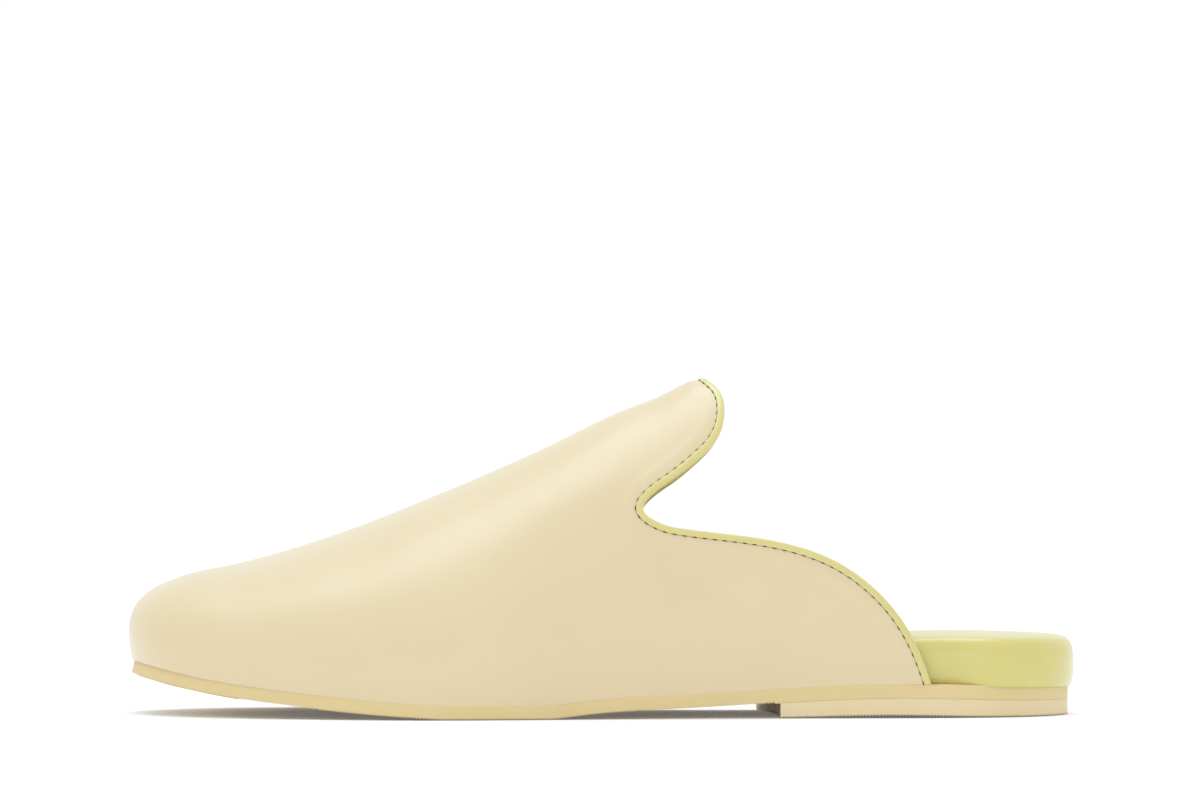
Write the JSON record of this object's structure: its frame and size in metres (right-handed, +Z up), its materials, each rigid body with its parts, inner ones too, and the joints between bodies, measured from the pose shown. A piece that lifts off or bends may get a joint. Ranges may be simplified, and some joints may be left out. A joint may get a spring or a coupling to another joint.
{
  "type": "leather mule",
  "caption": "Left flat backless mule: one-piece leather upper with a tall tongue, bound topline, thick padded footbed, thin sole with toe spring and a low heel.",
  "frame": {"origin": "on the floor, under the middle of the shoe's bounding box", "axes": "-X points to the toe and +X to the back of the heel, -Y to the outer side of the foot, +Z up from the floor"},
  "size_m": [0.285, 0.0986, 0.101],
  "materials": {
    "sole": "smooth tan rubber, square trimmed edge with a faint grind line, fine ribs across the underside",
    "heel": "tan rubber block, smooth sides, coarse grained breast",
    "footbed": "soft chartreuse nappa over foam, low sheen, fine grain",
    "upper": "very smooth pale butter calf, fine pores, soft sheen",
    "binding": "folded chartreuse leather strip, one row of dark stitches along its inner edge"
  },
  "bodies": {
    "root": {"sole": "sole", "heel": "heel", "footbed": "footbed", "upper": "upper", "topline_binding": "binding"}
  },
  "joints": []
}
